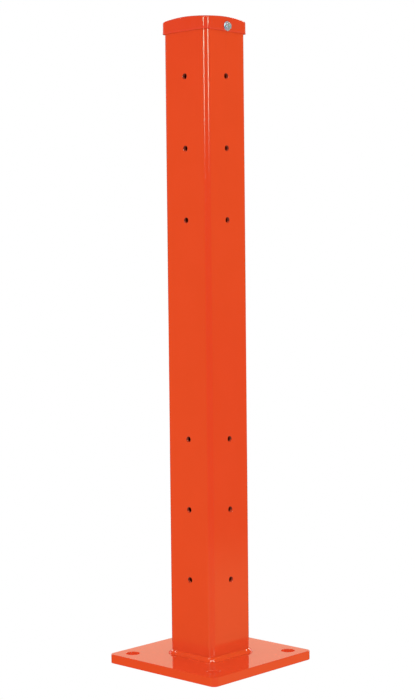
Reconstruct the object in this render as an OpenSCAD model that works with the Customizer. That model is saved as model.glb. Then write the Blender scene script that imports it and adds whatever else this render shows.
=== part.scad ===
// Double-rail guard post: a square steel tube welded to a square base plate,
// drilled for rails on its front and right faces, and closed by a moulded slip-over cap.
// Millimetres. The origin is the middle of the base plate's underside, +Z up.
// The front face is the one at -Y and the right face the one at +X.

/* [Tube] */
// Width of the square tube across its flat faces
tube_w = 101.6; // [90:0.1:130]
// Wall thickness of the tube
tube_wall = 4.8; // [3:0.1:8]
// Outside corner radius of the tube
tube_corner_r = 9.5; // [9:0.1:14]
// Length of the tube from the plate to its upper end
tube_length = 1100; // [1060:1:1400]

/* [Base plate] */
// Side of the square base plate
plate_w = 254; // [220:1:320]
// Thickness of the base plate
plate_t = 15.9; // [10:0.1:25]
// Corner radius of the base plate
plate_corner_r = 10; // [4:0.5:18]
// Diameter of an anchor hole
anchor_d = 24; // [14:0.5:28]
// Distance from an anchor hole's centre to each of the two plate edges beside it
anchor_inset = 30; // [22:0.5:36]

/* [Weld] */
// Leg of the fillet weld round the foot of the tube
weld_leg = 7; // [4:0.5:12]
// Height of the bead's bulge over a flat fillet
weld_bulge = 0.9; // [0.2:0.1:1.5]

/* [Rail bolt holes] */
// Diameter of a rail bolt hole
bolt_d = 10; // [8:0.1:14]
// Distance between neighbouring holes of a group
bolt_pitch = 123; // [90:1:130]
// Number of holes in each group, one group for each rail
bolt_count = 3; // [2:1:3]
// Height of the lower group's middle above the foot of the tube
lower_rail_h = 259.1; // [200:0.1:300]
// Drop from the tube's upper end to the upper group's middle
upper_rail_drop = 216.4; // [180:0.1:300]

/* [Cap] */
// Clearance between the tube and the cap's skirt on each side
cap_gap = 0.4; // [0.2:0.05:1]
// Wall thickness of the cap's skirt
skirt_t = 2.5; // [2:0.1:4]
// How far the skirt reaches down over the tube
skirt_depth = 17.3; // [16:0.1:40]
// Outside corner radius of the cap
cap_corner_r = 10.5; // [8:0.1:14]
// Height of the cap's outer corners above the tube's end
cap_top_t = 3.6; // [2.5:0.1:5]
// Rise of the crown from the cap's corners to its middle
crown_rise = 8.1; // [4:0.1:14]
// Thickness of the crown's roof
roof_t = 3; // [2:0.1:4]
// Rounding of the edge between skirt and crown
cap_edge_r = 2.5; // [1:0.1:4]

/* [Cap screw] */
// Diameter of the screw's shank
screw_d = 6; // [4:0.1:7]
// Length of the screw under its head
screw_length = 19; // [14:0.5:30]
// Length of the screw's tapered point
screw_point = 4; // [2:0.5:5]
// Clearance round the shank in the skirt and the tube on each side
screw_gap = 0.1; // [0.05:0.05:0.4]
// Diameter of the washer face under the head
screw_flange_d = 16.4; // [12:0.1:16.6]
// Thickness of the washer face at its rim
screw_flange_t = 1.2; // [0.8:0.1:2]
// Width of the hexagon head across its flats
screw_hex_af = 11; // [8:0.1:11.5]
// Height of the head from the cap's face to its top
screw_head_h = 5.6; // [4:0.1:8]
// Diameter of the dish in the top of the head
screw_dish_d = 6.5; // [4:0.1:7]
// Depth of the dish in the top of the head
screw_dish_t = 0.8; // [0.4:0.1:1.5]
// Height of the screw's axis above the lower edge of the skirt
screw_rise = 8.3; // [8.3:0.1:12]

/* [Hidden] */
$fn = 96;
coat_color = [0.894, 0.290, 0.137];
cap_color = [0.886, 0.271, 0.133];
zinc_color = [0.66, 0.70, 0.72];

// Heights
tube_top_z = plate_t + tube_length;
skirt_z = tube_top_z - skirt_depth;
screw_z = skirt_z + screw_rise;

// The screw's hole through the skirt and the tube
screw_hole_d = screw_d + 2 * screw_gap;

// Half widths, from the axis of the post to a flat face
tube_half = tube_w / 2;
bore_half = tube_half - tube_wall;
plate_half = plate_w / 2;
socket_half = tube_half + cap_gap;
cap_half = socket_half + skirt_t;

// Corner radii that follow a wall
bore_corner_r = tube_corner_r - tube_wall;
socket_corner_r = tube_corner_r + cap_gap;

// The crown is a part of a sphere over the cap's four outer corners
cap_corner_reach = (cap_half - cap_corner_r) * sqrt(2) + cap_corner_r;
crown_r = (pow(cap_corner_reach, 2) + pow(crown_rise, 2)) / (2 * crown_rise);
crown_top_z = tube_top_z + cap_top_t + crown_rise;
crown_centre_z = crown_top_z - crown_r;

// Steps of the cap's lofted surface
corner_steps = 12;
side_steps = 8;
edge_steps = 6;
crown_loops = 5;

// Steps along the weld's bulged face, and how far a cut passes the surface it leaves by
weld_steps = 6;
over = 1;

// Middles of the two groups of holes above the foot of the tube
group_heights = [lower_rail_h, tube_length - upper_rail_drop];

// Turns about the post's axis from the +X face to each drilled face: the right one, then the front one
drilled_turns = [0, -90];

// Centres of one group's holes, measured from the group's middle
function group_offsets() =
    [for (i = [0 : bolt_count - 1]) (i - (bolt_count - 1) / 2) * bolt_pitch];

// Heights of all rail bolt holes above the foot of the tube
function bolt_heights() =
    [for (middle = group_heights, offset = group_offsets()) middle + offset];

// Height of the crown's sphere at a distance from the post's axis
function crown_z(reach) = crown_centre_z + sqrt(pow(crown_r, 2) - pow(reach, 2));

// One loop of points round a rounded square, counter-clockwise seen from above
function rounded_loop(half, r) =
    [for (k = [0 : 3], p = quarter_loop(half, r)) turned(p, 90 * k)];

// A quarter of that loop: the corner at +X +Y, then the side that follows it
function quarter_loop(half, r) = concat(
    [for (i = [0 : corner_steps])
        let (a = 90 * i / corner_steps)
        [half - r + r * cos(a), half - r + r * sin(a)]],
    [for (i = [1 : side_steps - 1])
        [(half - r) * (1 - 2 * i / side_steps), half]]
);

// A point turned about the post's axis
function turned(p, a) = [p[0] * cos(a) - p[1] * sin(a), p[0] * sin(a) + p[1] * cos(a)];

// The same loop laid on the crown, and lowered by a drop
function crown_loop(half, r, drop) =
    [for (p = rounded_loop(half, r)) [p[0], p[1], crown_z(norm(p)) - drop]];

// Section of the weld: a fillet of equal legs with a bulged face
function weld_section() = concat(
    [[0, 0]],
    [for (i = [0 : weld_steps])
        let (t = i / weld_steps, swell = weld_bulge * sin(180 * t) / sqrt(2))
        [weld_leg * (1 - t) + swell, weld_leg * t + swell]]
);

// Flat square with rounded corners, centred on the axis
module rounded_square(half, r) {
    square([2 * half, 2 * (half - r)], center = true);
    square([2 * (half - r), 2 * half], center = true);
    for (x = [-1, 1], y = [-1, 1])
        translate([x * (half - r), y * (half - r)])
            circle(r);
}

// Square plate with an anchor hole in each corner
module base_plate() {
    anchor_at = plate_half - anchor_inset;
    color(coat_color)
        difference() {
            linear_extrude(plate_t)
                rounded_square(plate_half, plate_corner_r);
            for (x = [-1, 1], y = [-1, 1])
                translate([x * anchor_at, y * anchor_at, -over])
                    cylinder(d = anchor_d, h = plate_t + 2 * over);
        }
}

// Square tube, its front and right faces drilled at each bolt height
module post_tube() {
    color(coat_color)
        difference() {
            translate([0, 0, plate_t])
                linear_extrude(tube_length)
                    difference() {
                        rounded_square(tube_half, tube_corner_r);
                        rounded_square(bore_half, bore_corner_r);
                    }
            for (turn = drilled_turns, h = bolt_heights())
                rotate([0, 0, turn])
                    wall_drill(bolt_d, plate_t + h, bore_half, tube_half);
            wall_drill(screw_hole_d, screw_z, bore_half, tube_half);
        }
}

// A drill along X at a height, through the wall between two distances off the axis
module wall_drill(d, z, inner, outer) {
    translate([inner - over, 0, z])
        rotate([0, 90, 0])
            cylinder(d = d, h = outer - inner + 2 * over);
}

// Fillet weld all round the foot of the tube: four straight runs and four turned corners
module base_weld() {
    run = 2 * (tube_half - tube_corner_r);
    color(coat_color)
        translate([0, 0, plate_t])
            for (k = [0 : 3])
                rotate([0, 0, 90 * k]) {
                    translate([tube_half, 0, 0])
                        rotate([90, 0, 0])
                            linear_extrude(run, center = true)
                                polygon(weld_section());
                    translate([run / 2, run / 2, 0])
                        rotate_extrude(angle = 90)
                            translate([tube_corner_r, 0])
                                polygon(weld_section());
                }
}

// Moulded cap: a crowned shell whose skirt slips over the tube and whose ledge rests on its end
module post_cap() {
    color(cap_color)
        difference() {
            cap_outside();
            cap_inside();
            wall_drill(screw_hole_d, screw_z, socket_half, cap_half);
        }
}

// Outside of the cap, stretched over loops from the skirt's lower edge to the crown's top.
// It is convex all over, so the hull of the loops' points is its surface.
module cap_outside() {
    lower_edge = [for (p = rounded_loop(cap_half, cap_corner_r)) [p[0], p[1], skirt_z]];
    rounded_edge = [
        for (i = [0 : edge_steps])
            let (a = 90 * i / edge_steps, inset = cap_edge_r * (1 - cos(a)))
            crown_loop(cap_half - inset, cap_corner_r - inset, cap_edge_r * (1 - sin(a)))
    ];
    crown = [
        for (i = [1 : crown_loops - 1])
            let (share = 1 - i / crown_loops)
            crown_loop((cap_half - cap_edge_r) * share, (cap_corner_r - cap_edge_r) * share, 0)
    ];
    loops = concat([lower_edge], rounded_edge, crown);
    points = concat([for (loop = loops, p = loop) p], [[0, 0, crown_top_z]]);
    hull()
        polyhedron(points, [[for (i = [0 : len(points) - 1]) i]]);
}

// Inside of the cap: the socket for the tube, and a hollow under the crown that leaves the ledge
module cap_inside() {
    translate([0, 0, skirt_z - over])
        linear_extrude(skirt_depth + over)
            rounded_square(socket_half, socket_corner_r);
    intersection() {
        translate([0, 0, tube_top_z - over])
            linear_extrude(cap_top_t + crown_rise)
                rounded_square(bore_half, bore_corner_r);
        translate([0, 0, crown_centre_z])
            sphere(crown_r - roof_t, $fn = 240);
    }
}

// Hexagon washer-head screw through the skirt into the tube, its axis along X
module cap_screw() {
    color(zinc_color)
        translate([cap_half, 0, screw_z])
            rotate([0, 90, 0]) {
                screw_head();
                screw_shank();
            }
}

// Washer face and dished hexagon in one piece, on the plane that seats on the skirt
module screw_head() {
    hex_corner_d = screw_hex_af / cos(30);
    chamfer = (hex_corner_d - screw_hex_af) / 2;
    difference() {
        union() {
            rotate_extrude()
                polygon([
                    [0, 0],
                    [screw_flange_d / 2, 0],
                    [screw_flange_d / 2, screw_flange_t],
                    [screw_hex_af / 2, 2 * screw_flange_t],
                    [0, 2 * screw_flange_t]
                ]);
            intersection() {
                cylinder(d = hex_corner_d, h = screw_head_h, $fn = 6);
                rotate_extrude()
                    polygon([
                        [0, 0],
                        [hex_corner_d / 2 + over, 0],
                        [hex_corner_d / 2 + over, screw_head_h - chamfer - over],
                        [screw_hex_af / 2 - chamfer, screw_head_h],
                        [0, screw_head_h]
                    ]);
            }
        }
        translate([0, 0, screw_head_h - screw_dish_t])
            cylinder(d1 = screw_dish_d - 2 * screw_dish_t, d2 = screw_dish_d, h = screw_dish_t);
    }
}

// Plain shank with a blunt tapered point
module screw_shank() {
    rotate_extrude()
        polygon([
            [0, 0],
            [screw_d / 2, 0],
            [screw_d / 2, screw_point - screw_length],
            [screw_d / 8, -screw_length],
            [0, -screw_length]
        ]);
}

base_plate();
post_tube();
base_weld();
post_cap();
cap_screw();
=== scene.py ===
"""Dresses the guard rail post and sets it in a plain white studio.

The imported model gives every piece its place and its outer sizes. Each of the five pieces is built again here
as a detailed mesh, such as a plate with painted-over edges, a rippled weld or a threaded screw, and gets a
procedural finish.
Metres, in the part's own frame: the origin is the middle of the base plate's underside and +Z is up.
"""

from __future__ import annotations

import logging
import math
from collections.abc import Callable, Iterable, Sequence
from dataclasses import dataclass, field, replace
from enum import Enum
from functools import cache

import bmesh
import bpy
from mathutils import Matrix, Vector


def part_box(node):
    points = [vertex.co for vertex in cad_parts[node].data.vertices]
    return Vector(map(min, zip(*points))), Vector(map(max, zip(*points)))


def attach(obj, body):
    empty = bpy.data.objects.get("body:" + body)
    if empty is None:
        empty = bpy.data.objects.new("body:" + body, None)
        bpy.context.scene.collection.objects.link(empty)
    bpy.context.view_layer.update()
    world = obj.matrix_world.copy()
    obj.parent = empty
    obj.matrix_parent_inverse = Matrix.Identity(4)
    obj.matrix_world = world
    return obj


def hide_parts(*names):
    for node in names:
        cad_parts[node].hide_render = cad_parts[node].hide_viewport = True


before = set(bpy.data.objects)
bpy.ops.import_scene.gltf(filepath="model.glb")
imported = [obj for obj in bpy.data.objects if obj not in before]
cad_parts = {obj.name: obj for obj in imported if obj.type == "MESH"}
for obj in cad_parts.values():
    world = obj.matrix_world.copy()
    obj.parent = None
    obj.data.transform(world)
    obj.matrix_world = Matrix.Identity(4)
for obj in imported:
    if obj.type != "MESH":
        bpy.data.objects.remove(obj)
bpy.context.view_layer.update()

log = logging.getLogger("guard_rail_post")

BODY = "root"
MM = 0.001
QUARTER_TURN = math.pi / 2
HALF_HEX_SIDE = math.pi / 6
UP = Vector((0, 0, 1))
WHITE = (1.0, 1.0, 1.0)

FLOAT = "NodeSocketFloat"
VECTOR = "NodeSocketVector"
COLOR = "NodeSocketColor"

# The range that nearly all of a noise's values are in.
NOISE_RANGE = (0.3, 0.7)

# The weight at which only the largest face at a corner sets the direction of its shading.
LARGE_FACES_ONLY = 100

Color = tuple[float, float, float]
Point = tuple[float, float]
Turned = Callable[[float], Point]
Loop = list[bmesh.types.BMVert]
Value = float | Color | bpy.types.NodeSocket
Inputs = dict[str | int, Value]


class Node(Enum):
    """The construction pieces that the dressed meshes stand for."""

    BASE_PLATE = "base_plate"
    POST_TUBE = "post_tube"
    BASE_WELD = "base_weld"
    POST_CAP = "post_cap"
    CAP_SCREW = "cap_screw"

    @cache
    def box(self) -> tuple[Vector, Vector]:
        """Returns the lowest and the highest corner of the piece's box, which is measured only once."""
        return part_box(self.value)

    def low(self) -> Vector:
        """Returns the lowest corner of the piece's box."""
        return Vector(self.box()[0])

    def high(self) -> Vector:
        """Returns the highest corner of the piece's box."""
        return Vector(self.box()[1])


class Slot(Enum):
    """The material slots of the part's record."""

    POWDER_COAT = "powder_coat"
    CAP_PLASTIC = "cap_plastic"
    ZINC_PLATE = "zinc_plate"


def rounded_square(half: float, corner_r: float, arc_steps: int, side_steps: int = 1) -> list[Point]:
    """Lays points round a square with rounded corners, counter-clockwise.

    Args:
        half: Half the square's width.
        corner_r: Radius of the rounded corners.
        arc_steps: Steps along each corner's arc.
        side_steps: Steps along each straight side.

    Returns:
        The points, starting where the first corner's arc leaves the +X side.
    """
    reach = (half - corner_r) * math.sqrt(2)

    def on_arc(corner: float, angle: float) -> Point:
        """Finds a point of a corner's arc.

        Args:
            corner: Direction of the corner from the square's middle.
            angle: Direction of the point from the arc's middle.

        Returns:
            The point.
        """
        return (
            reach * math.cos(corner) + corner_r * math.cos(angle),
            reach * math.sin(corner) + corner_r * math.sin(angle),
        )

    points: list[Point] = []
    for i in range(4):
        start = QUARTER_TURN * i
        corner = start + QUARTER_TURN / 2
        points += [on_arc(corner, start + QUARTER_TURN * j / arc_steps) for j in range(arc_steps + 1)]
        x, y = points[-1]
        next_x, next_y = on_arc(corner + QUARTER_TURN, start + QUARTER_TURN)
        shares = [j / side_steps for j in range(1, side_steps)]
        points += [(x + (next_x - x) * share, y + (next_y - y) * share) for share in shares]
    return points


def circle(radius: float, steps: int, centre: Point = (0.0, 0.0)) -> list[Point]:
    """Lays points round a circle, counter-clockwise.

    Args:
        radius: Radius of the circle.
        steps: Number of points.
        centre: Middle of the circle.

    Returns:
        The points.
    """
    angles = [math.tau * i / steps for i in range(steps)]
    return [(centre[0] + radius * math.cos(a), centre[1] + radius * math.sin(a)) for a in angles]


def quarter_round(steps: int) -> list[Point]:
    """Follows the rounding of an edge of radius 1.

    Args:
        steps: Number of steps through its quarter turn.

    Returns:
        For each place, both ends included, how far along the first face and how far from it the rounding is.
    """
    angles = [QUARTER_TURN * i / steps for i in range(steps + 1)]
    return [(math.sin(a), 1 - math.cos(a)) for a in angles]


class MeshDraft:
    """Collects the points and faces of one piece before it becomes an object."""

    def __init__(self) -> None:
        """Starts an empty draft."""
        self.bm = bmesh.new()

    def loop(self, points: Iterable[Point], place: Callable[[float, float], Vector]) -> Loop:
        """Adds a loop of points.

        Args:
            points: The loop's points in its own plane.
            place: Turns a point of that plane into a place in the part's frame.

        Returns:
            The new vertices, in order.
        """
        return [self.bm.verts.new(place(x, y)) for x, y in points]

    def level(self, points: Iterable[Point], z: float) -> Loop:
        """Adds a loop of points at one height."""
        return self.loop(points, lambda x, y: Vector((x, y, z)))

    def bridge(self, first: Loop, second: Loop, finish: int = 0) -> None:
        """Joins two closed loops of as many points with a band of quads.

        Args:
            first: One loop.
            second: The other loop.
            finish: Which of the piece's materials the band takes.
        """
        for i in range(len(first)):
            j = (i + 1) % len(first)
            self.bm.faces.new((first[i], first[j], second[j], second[i])).material_index = finish

    def bridge_all(self, loops: Sequence[Loop], finish: int = 0) -> None:
        """Joins each loop to the next with a band of quads, in one of the piece's materials."""
        for first, second in zip(loops, loops[1:]):
            self.bridge(first, second, finish)

    def fan(self, loop: Loop, tip: Vector) -> None:
        """Closes a loop with triangles that meet at a tip.

        Args:
            loop: The loop.
            tip: The tip.
        """
        middle = self.bm.verts.new(tip)
        for i, vert in enumerate(loop):
            self.bm.faces.new((vert, loop[(i + 1) % len(loop)], middle))

    def fill(self, loops: Sequence[Loop], normal: Vector) -> None:
        """Fills the flat area that the first loop bounds, round the holes that the others bound.

        Args:
            loops: The outer loop, then one loop for each hole.
            normal: The direction that the area faces.
        """
        edges = []
        for loop in loops:
            for i, vert in enumerate(loop):
                pair = (vert, loop[(i + 1) % len(loop)])
                edges.append(self.bm.edges.get(pair) or self.bm.edges.new(pair))
        bmesh.ops.triangle_fill(self.bm, use_beauty=True, use_dissolve=False, edges=edges, normal=normal)

    def piece(self, name: str, even_normals: bool = True) -> bpy.types.Object:
        """Turns the draft into an object of the scene.

        Args:
            name: Name of the object.
            even_normals: Whether large flat faces keep their own direction up to their rounded edges.

        Returns:
            The new object.
        """
        bmesh.ops.recalc_face_normals(self.bm, faces=self.bm.faces)
        mesh = bpy.data.meshes.new(name)
        self.bm.to_mesh(mesh)
        self.bm.free()
        for polygon in mesh.polygons:
            polygon.use_smooth = True
        piece = bpy.data.objects.new(name, mesh)
        bpy.context.scene.collection.objects.link(piece)
        if even_normals:
            modifier = piece.modifiers.new("even_normals", "WEIGHTED_NORMAL")
            modifier.mode = "FACE_AREA"
            modifier.weight = LARGE_FACES_ONLY
        return piece


class Sheet:
    """Adds nodes to one node tree and joins them up."""

    def __init__(self, tree: bpy.types.NodeTree) -> None:
        """Keeps the tree that the nodes go into."""
        self.tree = tree

    def add(self, kind: str, inputs: Inputs | None = None, **settings: object) -> bpy.types.Node:
        """Adds a node.

        Args:
            kind: The node's type name.
            inputs: What feeds its sockets: a plain value, or the socket of another node.
            **settings: The node's own properties.

        Returns:
            The new node.
        """
        node = self.tree.nodes.new(kind)
        for name, setting in settings.items():
            setattr(node, name, setting)
        for name, value in (inputs or {}).items():
            self.feed(node.inputs[name], value)
        return node

    def feed(self, socket: bpy.types.NodeSocket, value: Value) -> None:
        """Sets a socket to a plain value, or links another socket to it.

        Args:
            socket: The socket.
            value: The plain value, or the other socket.
        """
        if isinstance(value, bpy.types.NodeSocket):
            self.tree.links.new(value, socket)
        elif isinstance(value, tuple) and socket.type == "RGBA":
            socket.default_value = (*value, 1.0)
        else:
            socket.default_value = value

    def surface(self, kind: str, inputs: Inputs, output: str = "Material") -> None:
        """Adds a shader and joins it to the tree's output, which is a material's or a world's."""
        shader = self.add(kind, inputs)
        self.add(f"ShaderNodeOutput{output}", {"Surface": shader.outputs[0]})

    def math(self, operation: str, *values: Value) -> bpy.types.NodeSocket:
        """Returns the result of a Math node on some values."""
        return self.add("ShaderNodeMath", dict(enumerate(values)), operation=operation).outputs[0]

    def vector(self, operation: str, inputs: Inputs) -> bpy.types.NodeSocket:
        """Returns the vector that a Vector Math node makes of its inputs."""
        return self.add("ShaderNodeVectorMath", inputs, operation=operation).outputs["Vector"]

    def noise(self, length: Value, detail: float) -> bpy.types.NodeSocket:
        """Adds a noise over the object.

        Args:
            length: Distance between its clumps.
            detail: How many finer noises it has in it.

        Returns:
            The noise, from 0 to 1.
        """
        place = self.add("ShaderNodeTexCoord").outputs["Object"]
        frequency = 1 / length if isinstance(length, float) else self.math("DIVIDE", 1.0, length)
        inputs = {"Vector": place, "Scale": frequency, "Detail": detail}
        return self.add("ShaderNodeTexNoise", inputs).outputs["Fac"]

    def ramp(
        self, value: Value, low: Value, high: Value, to_low: Value = 0.0, to_high: Value = 1.0
    ) -> bpy.types.NodeSocket:
        """Maps a value from one range to another, eased in and out of its ends and held there.

        Args:
            value: The value to map.
            low: Value that gives to_low.
            high: Value that gives to_high.
            to_low: Result at the low end.
            to_high: Result at the high end.

        Returns:
            The mapped value.
        """
        inputs = {"Value": value, "From Min": low, "From Max": high, "To Min": to_low, "To Max": to_high}
        return self.add("ShaderNodeMapRange", inputs, interpolation_type="SMOOTHSTEP").outputs["Result"]

    def mix(self, share: Value, first: Value, second: Value) -> bpy.types.NodeSocket:
        """Mixes two colours.

        Args:
            share: Share of the second colour.
            first: One colour.
            second: The other colour.

        Returns:
            The mix.
        """
        node = self.add("ShaderNodeMix", data_type="RGBA")
        self.feed(node.inputs["Factor"], share)
        self.feed(next(s for s in node.inputs if s.name == "A" and s.type == "RGBA"), first)
        self.feed(next(s for s in node.inputs if s.name == "B" and s.type == "RGBA"), second)
        return next(s for s in node.outputs if s.type == "RGBA")


class Effect:
    """A shader node group that several finishes or lights share, built once."""

    def __init__(self, name: str, takes: dict[str, tuple[str, Value | None]], gives: dict[str, str]) -> None:
        """Makes the group's sockets.

        Args:
            name: Name of the group.
            takes: For each input, its socket type and its default value.
            gives: For each output, its socket type.
        """
        self.tree = bpy.data.node_groups.new(name, "ShaderNodeTree")
        for label, (kind, default) in takes.items():
            socket = self.tree.interface.new_socket(label, in_out="INPUT", socket_type=kind)
            if default is not None:
                socket.default_value = (*default, 1.0) if kind == COLOR else default
        for label, kind in gives.items():
            self.tree.interface.new_socket(label, in_out="OUTPUT", socket_type=kind)
        self.sheet = Sheet(self.tree)
        self.takes = self.sheet.add("NodeGroupInput").outputs
        self.gives = self.sheet.add("NodeGroupOutput").inputs

    def put(self, label: str, value: bpy.types.NodeSocket) -> None:
        """Feeds one of the group's outputs."""
        self.sheet.feed(self.gives[label], value)

    def place(self, sheet: Sheet, inputs: Inputs) -> bpy.types.NodeOutputs:
        """Places the group in a tree with its own values and returns its outputs."""
        return sheet.add("ShaderNodeGroup", inputs, node_tree=self.tree).outputs


def orange_peel() -> Effect:
    """Builds the slight waves that a cured coat or a moulded skin has.

    Returns:
        The effect: it takes the waves' and the grain's lengths and heights and gives a height in metres.
    """
    effect = Effect(
        "orange_peel",
        {
            "Wave Length": (FLOAT, 5 * MM),
            "Wave Height": (FLOAT, 0.01 * MM),
            "Grain Length": (FLOAT, 1.2 * MM),
            "Grain Height": (FLOAT, 0.001 * MM),
        },
        {"Height": FLOAT},
    )
    sheet = effect.sheet
    heights = []
    for label, detail in (("Wave", 1.0), ("Grain", 2.0)):
        noise = sheet.noise(effect.takes[f"{label} Length"], detail)
        centred = sheet.math("SUBTRACT", noise, 0.5)
        heights.append(sheet.math("MULTIPLY", centred, effect.takes[f"{label} Height"]))
    effect.put("Height", sheet.math("ADD", *heights))
    return effect


def film_tone() -> Effect:
    """Builds the faint cloudiness of a coat or a plastic, where it lies a little thicker or thinner.

    Returns:
        The effect: it takes a colour, how far that strays and over what length, and gives the colour and a
        mask.
    """
    effect = Effect(
        "film_tone",
        {"Color": (COLOR, (0.8, 0.8, 0.8)), "Cloud Length": (FLOAT, 50 * MM), "Strength": (FLOAT, 0.03)},
        {"Color": COLOR, "Mask": FLOAT},
    )
    sheet = effect.sheet
    mask = sheet.ramp(sheet.noise(effect.takes["Cloud Length"], 3.0), *NOISE_RANGE)
    swing = sheet.math("MULTIPLY", sheet.math("SUBTRACT", mask, 0.5), effect.takes["Strength"])
    gain = sheet.math("ADD", swing, 1.0)
    effect.put("Color", sheet.vector("SCALE", {0: effect.takes["Color"], "Scale": gain}))
    effect.put("Mask", mask)
    return effect


def soft_box_mask() -> Effect:
    """Builds the soft-edged area that one light or card fills on the sphere round the post.

    Returns:
        The effect: it takes a direction and the area's middle, widths and fades in degrees, and gives a mask.
    """
    degrees = {
        "Azimuth": 0.0,
        "Half Width": 10.0,
        "Side Fade": 2.0,
        "Low": 0.0,
        "Low Fade": 2.0,
        "High": 60.0,
        "High Fade": 2.0,
    }
    takes_degrees = {label: (FLOAT, default) for label, default in degrees.items()}
    effect = Effect("soft_box_mask", {"Direction": (VECTOR, None), **takes_degrees}, {"Mask": FLOAT})
    sheet = effect.sheet
    takes = effect.takes
    parts = sheet.add("ShaderNodeSeparateXYZ", {0: takes["Direction"]}).outputs
    heading = sheet.math("ARCTAN2", parts["X"], sheet.math("MULTIPLY", parts["Y"], -1.0))
    turned = sheet.math("SUBTRACT", sheet.math("DEGREES", heading), takes["Azimuth"])
    off_middle = sheet.math("ABSOLUTE", sheet.math("WRAP", turned, 180.0, -180.0))
    inner = sheet.math("SUBTRACT", takes["Half Width"], takes["Side Fade"])
    outer = sheet.math("ADD", takes["Half Width"], takes["Side Fade"])
    side = sheet.ramp(off_middle, inner, outer, 1.0, 0.0)
    elevation = sheet.math("DEGREES", sheet.math("ARCSINE", parts["Z"]))
    above = sheet.ramp(elevation, takes["Low"], sheet.math("ADD", takes["Low"], takes["Low Fade"]))
    end = sheet.math("ADD", takes["High"], takes["High Fade"])
    below = sheet.ramp(elevation, takes["High"], end, 1.0, 0.0)
    effect.put("Mask", sheet.math("MULTIPLY", side, sheet.math("MULTIPLY", above, below)))
    return effect


@dataclass
class Effects:
    """The shared effects, each built once.

    Attributes:
        peel: Waves and grain of a coat or a moulded skin.
        tone: Cloudiness of a coat or a plastic.
        soft_box: Area that one light or card fills.
    """

    peel: Effect = field(default_factory=orange_peel)
    tone: Effect = field(default_factory=film_tone)
    soft_box: Effect = field(default_factory=soft_box_mask)


@dataclass(frozen=True)
class Relief:
    """One size of fine unevenness in a surface.

    Attributes:
        length: Distance between its rises.
        height: Height of its rises.
    """

    length: float
    height: float


def blank_material(name: str) -> tuple[bpy.types.Material, Sheet]:
    """Makes a material without nodes.

    Args:
        name: Name of the material.

    Returns:
        The material and its sheet of nodes.
    """
    material = bpy.data.materials.new(name)
    material.use_nodes = True
    material.node_tree.nodes.clear()
    return material, Sheet(material.node_tree)


def glowing(name: str, color: Color) -> bpy.types.Material:
    """Makes a plain glowing material that isn't sampled as a lamp.

    Args:
        name: Name of the material.
        color: Its radiance.

    Returns:
        The material.
    """
    material, sheet = blank_material(name)
    material.cycles.emission_sampling = "NONE"
    sheet.surface("ShaderNodeEmission", {"Color": color})
    return material


def uneven(sheet: Sheet, effects: Effects, wave: Relief, grain: Relief) -> bpy.types.NodeSocket:
    """Adds the fine unevenness of a surface.

    Args:
        sheet: The material's nodes.
        effects: The shared effects.
        wave: The coarser unevenness.
        grain: The finer unevenness.

    Returns:
        The surface's normal.
    """
    inputs = {
        "Wave Length": wave.length,
        "Wave Height": wave.height,
        "Grain Length": grain.length,
        "Grain Height": grain.height,
    }
    height = effects.peel.place(sheet, inputs)["Height"]
    return sheet.add("ShaderNodeBump", {"Strength": 1.0, "Distance": 1.0, "Height": height}).outputs["Normal"]


@dataclass(frozen=True)
class Skin:
    """A smooth coloured skin, such as a cured powder coat or a moulded plastic.

    Attributes:
        name: Name of the material.
        color: Base colour, linear.
        roughness: Mean roughness.
        wave: Its waves.
        grain: Its fine grain.
        cloud_length: Distance between the clouds in its colour.
        cloud_strength: Share by which those clouds change the colour.
        bounce: Colour of the light that it throws on its neighbours, greyer than the base colour.
        gloss: Tint of what it mirrors; the orange film keeps back some of the red.
        ior: Index of refraction, which sets how much it reflects.
        swing: Share by which the roughness strays.
        top_lit_color: Base colour where it faces up, a painted light as if lit from above, if that differs.
        top_lit_slope: How far up a place faces where that painted light is full; 1 is straight up.
    """

    name: str
    color: Color
    roughness: float
    wave: Relief
    grain: Relief
    cloud_length: float
    cloud_strength: float
    bounce: Color = (1.0, 0.88, 1.0)
    gloss: Color = (0.45, 1.0, 0.95)
    ior: float = 1.5
    swing: float = 0.1
    top_lit_color: Color | None = None
    top_lit_slope: float = 0.7

    def material(self, effects: Effects) -> bpy.types.Material:
        """Builds the skin's material.

        Args:
            effects: The shared effects.

        Returns:
            The material.
        """
        material, sheet = blank_material(self.name)
        color: Value = self.color
        # Painted light: places that face up take a lighter colour, as if lit from above.
        if self.top_lit_color:
            normal = sheet.add("ShaderNodeNewGeometry").outputs["Normal"]
            upward = sheet.add("ShaderNodeSeparateXYZ", {0: normal}).outputs["Z"]
            color = sheet.mix(sheet.ramp(upward, 0.0, self.top_lit_slope), self.color, self.top_lit_color)
        clouds = {"Color": color, "Cloud Length": self.cloud_length, "Strength": self.cloud_strength}
        tone = effects.tone.place(sheet, clouds)
        thrown = sheet.add("ShaderNodeLightPath").outputs["Is Diffuse Ray"]
        smoother = self.roughness * (1 - self.swing)
        rougher = self.roughness * (1 + self.swing)
        inputs = {
            "Base Color": sheet.mix(thrown, tone["Color"], self.bounce),
            "Specular Tint": self.gloss,
            "Roughness": sheet.ramp(tone["Mask"], 0.0, 1.0, smoother, rougher),
            "IOR": self.ior,
            "Normal": uneven(sheet, effects, self.wave, self.grain),
        }
        sheet.surface("ShaderNodeBsdfPrincipled", inputs)
        return material


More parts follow.
